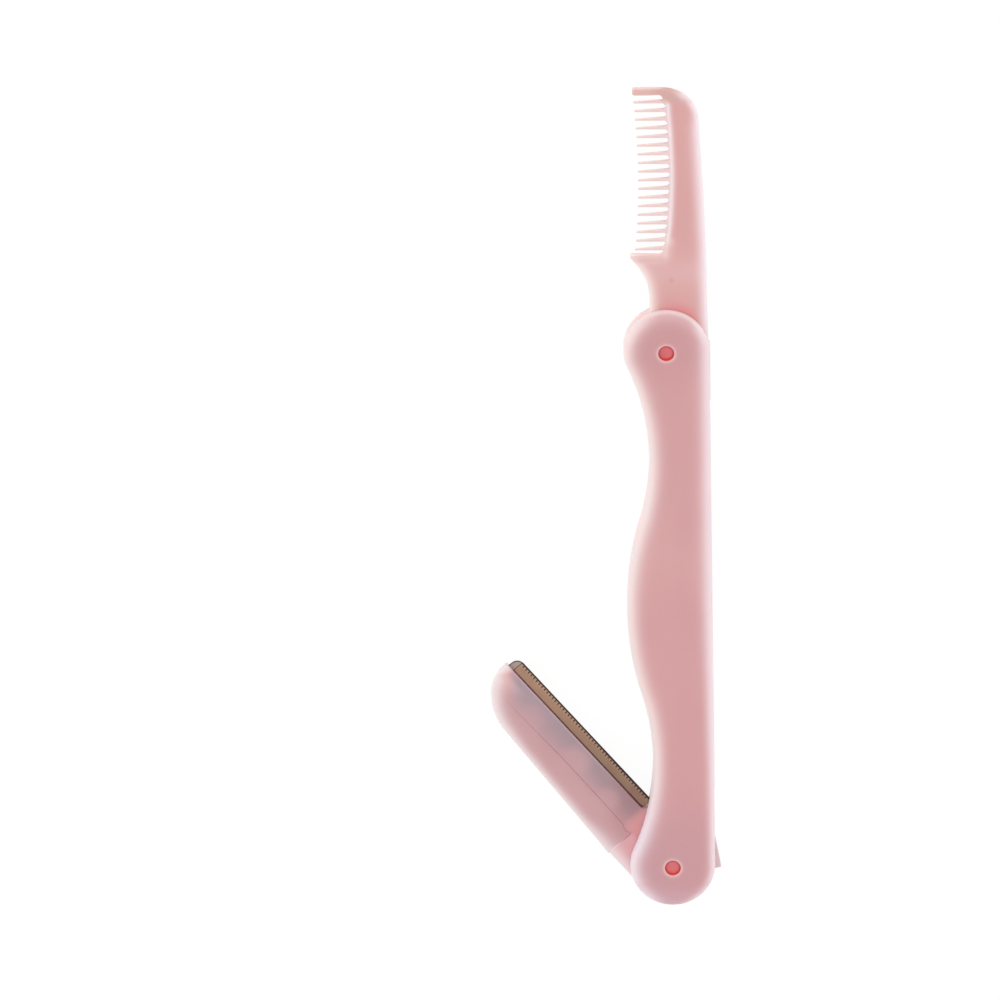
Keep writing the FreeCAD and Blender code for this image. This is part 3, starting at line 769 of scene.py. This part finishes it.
section = [(x, -z) for x, z in reversed(fold[1:])] + fold
stations = [guard_low + foot_round * (1 - math.cos(math.pi / 2 * i / 8)) for i in range(9)]
for index in range(slot_count):
    start = first_slot + index * slot_pitch
    stations += [start, start + slot_wide]
stations.append(guard_high)
points, faces = [], []
for place in stations:
    above_foot = max(0.0, foot_round - (place - guard_low))
    drawn_in = foot_round - math.sqrt(foot_round ** 2 - above_foot ** 2)
    narrow = 1 + drawn_in / (guard_seat + slot_deep)
    for x, z in section:
        points.append((x if x > -slot_deep else (x + slot_deep) * narrow - slot_deep, place, z))
width = len(section)
for row, (below, above) in enumerate(zip(stations, stations[1:])):
    share = ((below + above) / 2 - first_slot) / slot_pitch
    in_slot = share >= 0 and (share % 1) * slot_pitch < slot_wide
    for i in range(width - 1):
        deep = (section[i][0] + section[i + 1][0]) / 2
        if in_slot and -slot_deep < deep < -nose_strip:
            continue
        a, b = row * width + i, (row + 1) * width + i
        faces.append((a, a + 1, b + 1, b))
guard = new_piece("guard_foil_fold", points, faces, to_edge)
sheet_thick = guard.modifiers.new("foil", "SOLIDIFY")
sheet_thick.thickness, sheet_thick.offset = foil * metre, 0.0

guard_foil = paint = Finish("guard_foil", 0.42, 0.003, 14.0)
x, y, _ = paint.split(by_blade(paint))
paint.colour = paint.blend(paint.eased(y, 28, 2), bronze_high, bronze_low)
paint.coat(paint.eased(paint.cloud(0.35, 3), 0.35, 0.65, 0, 0.55), bronze_cloud)
step = paint.sums("FRACT", paint.sums("DIVIDE", paint.less(y, first_slot), slot_pitch))
beside = paint.times(paint.eased(step, 0.40, 0.46), paint.eased(step, 0.68, 0.56))
paint.coat(paint.times(beside, paint.eased(x, -0.56, -0.44), 0.5), between_slots)
# Painted shade: a dark line along the fold's nose, where it curves away from the light.
nose_start = paint.eased(y, 14, 8, -0.12, -0.19)
nose_full = paint.eased(y, 14, 8, -0.04, -0.08)
paint.coat(paint.eased(x, nose_start, nose_full), nose_shade)
foot_x, foot_y = guard_seat + foot_round, guard_low + foot_round
on_foot = paint.times(paint.sums("LESS_THAN", y, foot_y), paint.sums("LESS_THAN", x, foot_x))
past_foot = paint.less(paint.far_from(x, y, foot_x, foot_y), foot_round)
past_seat = paint.less(guard_seat, x)
past_edge = paint.plus(paint.times(on_foot, past_foot), paint.times(paint.less(1.0, on_foot), past_seat))
shadow = paint.blend(paint.eased(y, 6.0, 1.5), seat_shadow, seat_shadow_low)
paint.coat(paint.eased(past_edge, -0.13, -0.04), shadow)
paint.give(paint.shader, "Metallic", 0.55)
fitted(guard, "blade_guard", "razor", guard_foil, sharp=30)

# Razor arm: holder, tang and thumb heel in one moulding round the blade, whose steel
# shows through the plastic as a grey zone with three pink spots where its holes are filled.
tang_radius = 6.025
holder_foot = 7.2
holder_back_low, holder_back_high = 6.83, 7.62
razor_reach = 40.715
holder_edge, holder_tip, holder_depth = 1.5855, -0.843, 6.777
stop_x, stop_high = 5.395, 8.9
heel_radius = 7.325
heel_low, heel_high, heel_lean = math.radians(-41), math.radians(8), math.radians(17)
groove_half, groove_deep, groove_end = 0.05, 0.03, 27.0
# The joint of arm and cap: depth behind the blade's edge, and height above its foot
seam = [
    (6.3, -1.8), (5.82, -1.76), (5.68, -1.6), (5.7, -1.38), (5.98, -1.12), (5.99, -0.85), (5.8, -0.19),
    (5.56, 0.16), (5.53, 2.84), (5.46, 6.36), (5.41, 14.8), (5.6, 22.0), (5.72, 26.0), (5.72, 36.0),
]


def around(radius, angle):
    """The point at a radius and an angle from the pin."""
    return np.array((math.cos(angle), math.sin(angle))) * radius


def in_blade(loop):
    """Places on the shut razor as depth behind the edge and height above the blade's foot."""
    moved = loop - (blade_edge_x, blade_foot_y)
    c, s = math.cos(blade_lean), math.sin(blade_lean)
    return -(moved[:, 0] * c + moved[:, 1] * s), -moved[:, 0] * s + moved[:, 1] * c


def from_blade(places):
    """The shut razor's (x, y) for places (depth, height) behind the blade's edge."""
    c, s = math.cos(blade_lean), math.sin(blade_lean)
    return np.array([(blade_edge_x - d * c - h * s, blade_foot_y - d * s + h * c) for d, h in places])


def behind_seam(name):
    """A block of all that lies behind the seam, which parts the cap from the arm."""
    return prism(name, from_blade([(14, -1.8)] + seam + [(14, 36)]), 0, 5)


def seam_groove(floor, roof):
    """A fine groove along the seam, which thins out before the holder's tip."""
    path = [(11, -1.8)] + seam[:-2] + [(5.66, 24.4), (5.7, groove_end)]
    run = from_blade(path)
    step = np.gradient(run, axis=0)
    step /= np.linalg.norm(step, axis=1)[:, None]
    across = np.stack([-step[:, 1], step[:, 0]], 1)
    thinned = np.array([1 - 0.9 * max(0, min(1, (height - 14) / 12)) for _, height in path])
    across *= groove_half * thinned[:, None]
    return prism("seam_groove", np.concatenate([run - across, (run + across)[::-1]]), floor, roof)


heel_corner = around(heel_radius, heel_low)
inward = around(1, heel_low + heel_lean)
down = heel_corner @ inward
heel_foot = heel_corner - inward * (down - math.sqrt(down ** 2 - (heel_radius ** 2 - tang_radius ** 2)))
heel_top = around(tang_radius, heel_high)
heel_slope_end = (7.7, -0.34)
tang_meet = (stop_x, math.sqrt(tang_radius ** 2 - stop_x ** 2))
arm_corners = [
    (*tang_meet, 0), (stop_x, stop_high, 0.7), (holder_edge, stop_high + 0.8, 0.72),
    (holder_tip, razor_reach, 0.28),
    (holder_tip - holder_depth * 0.502, razor_reach - holder_depth * 0.037, holder_depth * 0.87),
    (-holder_back_high, razor_reach - holder_depth * 0.812, holder_depth * 1.357),
    (-holder_back_low, holder_foot, 0.1), (-holder_back_low + 0.25, holder_foot, 0.1), (-tang_radius, 0, 0),
]
arm_loop = rounded_loop(arm_corners, 0.35)
arm_loop += bend((0, 0), (-tang_radius, 0), (0.001, -tang_radius), 0.4)[1:]
arm_loop += bend((0, 0), (0.001, -tang_radius), heel_foot, 0.4)
arm_loop += straight(heel_foot, heel_corner, 0.3)
arm_loop += straight(heel_corner, heel_slope_end, 0.4)
arm_loop += straight(heel_slope_end, heel_top, 0.3)
arm_loop += bend((0, 0), heel_top, tang_meet, 0.4)
arm_loop = np.array(arm_loop)
depth, height = in_blade(arm_loop)
arm_rim = np.full(len(arm_loop), 0.5)
arm_rim[(depth < 3.0) & (height > -2)] = 0.12
arm_rim[arm_loop[:, 1] < holder_foot + 1.0] = 0.2
arm_rim = smoothed(arm_rim, 3)
arm_rim[arm_loop[:, 1] < holder_foot + 0.4] = 0.07
arm_hole = [(0, 0, tang_hole, tang_hole_edge)]
arm = moulding("razor_arm_moulding", arm_loop, arm_floor, arm_roof, arm_rim, arm_rim, arm_hole, grid=0.6)
shaped(arm, "DIFFERENCE", seam_groove(arm_roof - groove_deep, arm_roof + 1))
shaped(arm, "DIFFERENCE", seam_groove(arm_floor - 1, arm_floor + groove_deep))
cap = arm.copy()
cap.data = arm.data.copy()
bpy.context.scene.collection.objects.link(cap)
shaped(arm, "DIFFERENCE", behind_seam("behind_seam"))

arm_base, arm_flow = (209, 163, 166), (204, 157, 161)
tip_pink, low_back_pink = (234, 182, 181), (194, 143, 148)
steel_seen_high, steel_seen, steel_seen_low = (176, 151, 159), (170, 145, 151), (168, 129, 135)
tang_painted_light, tang_glow_pink = (228, 168, 173), (220, 152, 154)
holder_back_highlight, ridge_highlight = (248, 232, 233), (210, 186, 196)
groove_pink, groove_highlight_white = (196, 122, 136), (252, 238, 240)
# Filled holes of the blade: height, depth, size, and how much steel still shows there
spots = ((22.0, 4.4, 2.0, 0.6), (12.6, 4.5, 2.5, 0.3), (4.8, 4.7, 1.9, 0.5))

arm_pink = paint = pink_plastic("arm_pink", 0.08)
ahead, height, _ = paint.split(by_blade(paint))
depth = paint.times(ahead, -1.0)
from_foot = paint.eased(height, -1.2, 0.9)
below_tip = paint.eased(paint.plus(height, depth), 33.3, 29.3)
zone = paint.times(paint.eased(depth, 7.2, 2.3), from_foot, below_tip)
for spot_height, spot_depth, size, kept in spots:
    away = paint.far_from(height, depth, spot_height, spot_depth)
    zone = paint.times(zone, paint.eased(away, size * 0.4, size * 1.4, kept, 1.0))
steel = paint.blend(paint.eased(height, 26.0, 12.0), steel_seen_high, steel_seen)
steel = paint.blend(paint.eased(height, 10.0, 2.0), steel, steel_seen_low)
paint.colour = arm_base
paint.coat(paint.eased(paint.flow, 0.35, 0.65), arm_flow)
paint.coat(paint.times(paint.eased(height, 26.0, 31.0), paint.eased(depth, 1.8, 3.2, 0.6, 1.0)), tip_pink)
paint.coat(paint.times(paint.eased(height, 4.0, 0.0), paint.eased(depth, 8.0, 6.0), 0.6), low_back_pink)
paint.coat(zone, steel)
above_heel = paint.eased(height, -9, -6)
# Painted light on the tang below the foot line, lifting the shade that the handle casts, then a painted red
# glow by the cap's foot.
paint.coat(paint.times(paint.eased(height, -1.7, -1.9), above_heel), tang_painted_light)
paint.coat(paint.times(paint.eased(height, 0.9, -1.3), paint.eased(depth, 6.1, 5.0), above_heel), tang_glow_pink)
# The holder's back rim and the heel: partly the paler look of thin translucent edges, partly a painted
# highlight on their rounding.
by_tip = paint.times(paint.eased(depth, 2.4, 4.4), paint.eased(height, 25, 28))
behind = paint.most(paint.most(paint.eased(depth, 3.6, 6.0), by_tip), paint.eased(height, 29.4, 30.9))
rim_highlight_width = paint.plus(paint.eased(height, 18, 28, 0.95, 1.5), paint.eased(height, 5, 0, 0, 0.5))
rim_highlight_share = paint.times(paint.fading(paint.inset, rim_highlight_width), behind)
rim_highlight_share = paint.times(rim_highlight_share, paint.eased(height, 18, 25, 0.85, 1.0))
from_pin = paint.far_from(paint.x, paint.y, 0, -pin_height)
off_tang = paint.eased(from_pin, tang_radius + 0.005, tang_radius + 0.175)
on_heel = paint.times(off_tang, paint.eased(height, -6, -9), 0.5)
paint.coat(paint.most(rim_highlight_share, on_heel), holder_back_highlight)
# A painted highlight line along the holder's edge beside the guard.
ridge = paint.times(paint.fading(paint.less(depth, 1.86), 0.08), paint.eased(height, 3.0, 12.0), 0.5)
paint.coat(ridge, ridge_highlight)
# The seam groove's own pink-red line, turning into a painted highlight towards the cap's foot.
under_face = paint.less((arm_roof - arm_floor) / 2, paint.size(paint.less(paint.z, slot_middle)))
in_groove = paint.times(paint.eased(under_face, 0.003, 0.02), paint.eased(paint.inset, 0.52, 0.6))
paint.coat(in_groove, paint.blend(paint.eased(depth, 6.4, 8.8), groove_pink, groove_highlight_white))
fitted(arm, "razor_arm", "razor", arm_pink, arm_loop, move=to_arm)

# Cap: a clip of the same plastic over the holder's back. Its joint with the arm shows as
# a fine line, with a small step by the blade's foot.
cap.name = "back_cap_moulding"
shaped(cap, "INTERSECT", behind_seam("cap_reach"))
fitted(cap, "blade_back_cap", "razor", arm_pink, arm_loop, move=to_arm)

# Front shell: the wavy cover plate, moulded in the same plastic as the rear shell. It is
# seated on the spine wall, with its rounded rim upwards.
front = moulding("front_plate", outline, slot_roof, handle_thick, inner_round, outer_round, pin_holes)
fitted(front, "front_shell", "handle", shell_pink, outline)

# Table: a plain white sheet that the razor lies on. It shows as even white, and throws
# most of the light that falls on it back at the razor.
table_half, table_drop, table_glow = 2, 0.00002, 0.94
table_grey, shadow_grey = (0.85, 0.85, 0.85, 1), (0.08, 0.08, 0.08, 1)

corners = ((-1, -1), (1, -1), (1, 1), (-1, 1))
sheet = [(x * table_half, y * table_half, -table_drop) for x, y in corners]
table = new_piece("white_sheet", sheet, [(0, 1, 2, 3)])
white = bpy.data.materials.new("white_sheet")
paint = Nodes(white)
path = paint.add("ShaderNodeLightPath").outputs
seen = paint.most(paint.most(path["Is Camera Ray"], path["Is Glossy Ray"]), path["Is Transmission Ray"])
bounce = paint.add("ShaderNodeBsdfDiffuse", {"Color": table_grey}).outputs[0]
faint = paint.add("ShaderNodeBsdfDiffuse", {"Color": shadow_grey}).outputs[0]
bright = paint.add("ShaderNodeEmission", {"Strength": table_glow}).outputs[0]
shown = paint.add("ShaderNodeAddShader", {0: faint, 1: bright}).outputs[0]
both = paint.add("ShaderNodeMixShader", {0: seen, 1: bounce, 2: shown}).outputs[0]
paint.add("ShaderNodeOutputMaterial", {"Surface": both})
table.data.materials.append(white)

# Light: a white room all round, a little brighter low down than overhead, so that the
# rims of the pale plastic come out lighter than its faces.
overhead, level_light = 0.8, 1.12
toward_top, toward_sides = 0.12, 0.42

room = bpy.data.worlds.new("white_room")
bpy.context.scene.world = room
light = Nodes(room)
x, y, up = light.split(light.add("ShaderNodeTexCoord").outputs["Generated"])
low_down = light.plus(level_light, light.times(y, toward_top))
low_down = light.plus(low_down, light.times(x, x, toward_sides))
level = light.add("ShaderNodeMapRange", {"Value": up, "To Min": low_down, "To Max": overhead}).outputs[0]
path = light.add("ShaderNodeLightPath").outputs
seen = light.most(path["Is Camera Ray"], path["Is Transmission Ray"])
lit = light.add("ShaderNodeBackground", {"Color": (1, 1, 1, 1), "Strength": level}).outputs[0]
plain = light.add("ShaderNodeBackground", {"Color": (1, 1, 1, 1), "Strength": 1.0}).outputs[0]
both = light.add("ShaderNodeMixShader", {0: seen, 1: lit, 2: plain}).outputs[0]
light.add("ShaderNodeOutputWorld", {"Surface": both})

# Camera: a long lens 3 m from the handle's middle, tilted towards the comb's end and
# turned slightly to one side.
tilt, roll = math.radians(20.35), math.radians(0.73)
camera_far, lens_long = 3.0, 718.2
aim_left, aim_up = 0.0255, 0.01689

middle = Vector((0, 0, handle_thick * metre))
back = Vector((0, math.sin(tilt), math.cos(tilt)))
up = Vector((0, math.cos(tilt), -math.sin(tilt)))
right = Vector((1, 0, 0))
right, up = right * math.cos(roll) - up * math.sin(roll), right * math.sin(roll) + up * math.cos(roll)
place = middle + back * camera_far
centre = middle - right * aim_left + up * aim_up
back = (place - centre).normalized()
right = up.cross(back).normalized()
up = back.cross(right)
lens = bpy.data.cameras.new("camera")
lens.lens, lens.sensor_width = lens_long, 36
lens.clip_start, lens.clip_end = 0.1, 10
camera = bpy.data.objects.new("camera", lens)
bpy.context.scene.collection.objects.link(camera)
camera.matrix_world = Matrix.Translation(place) @ Matrix((right, up, back)).transposed().to_4x4()
bpy.context.scene.camera = camera
bpy.context.scene.view_settings.view_transform = "Standard"
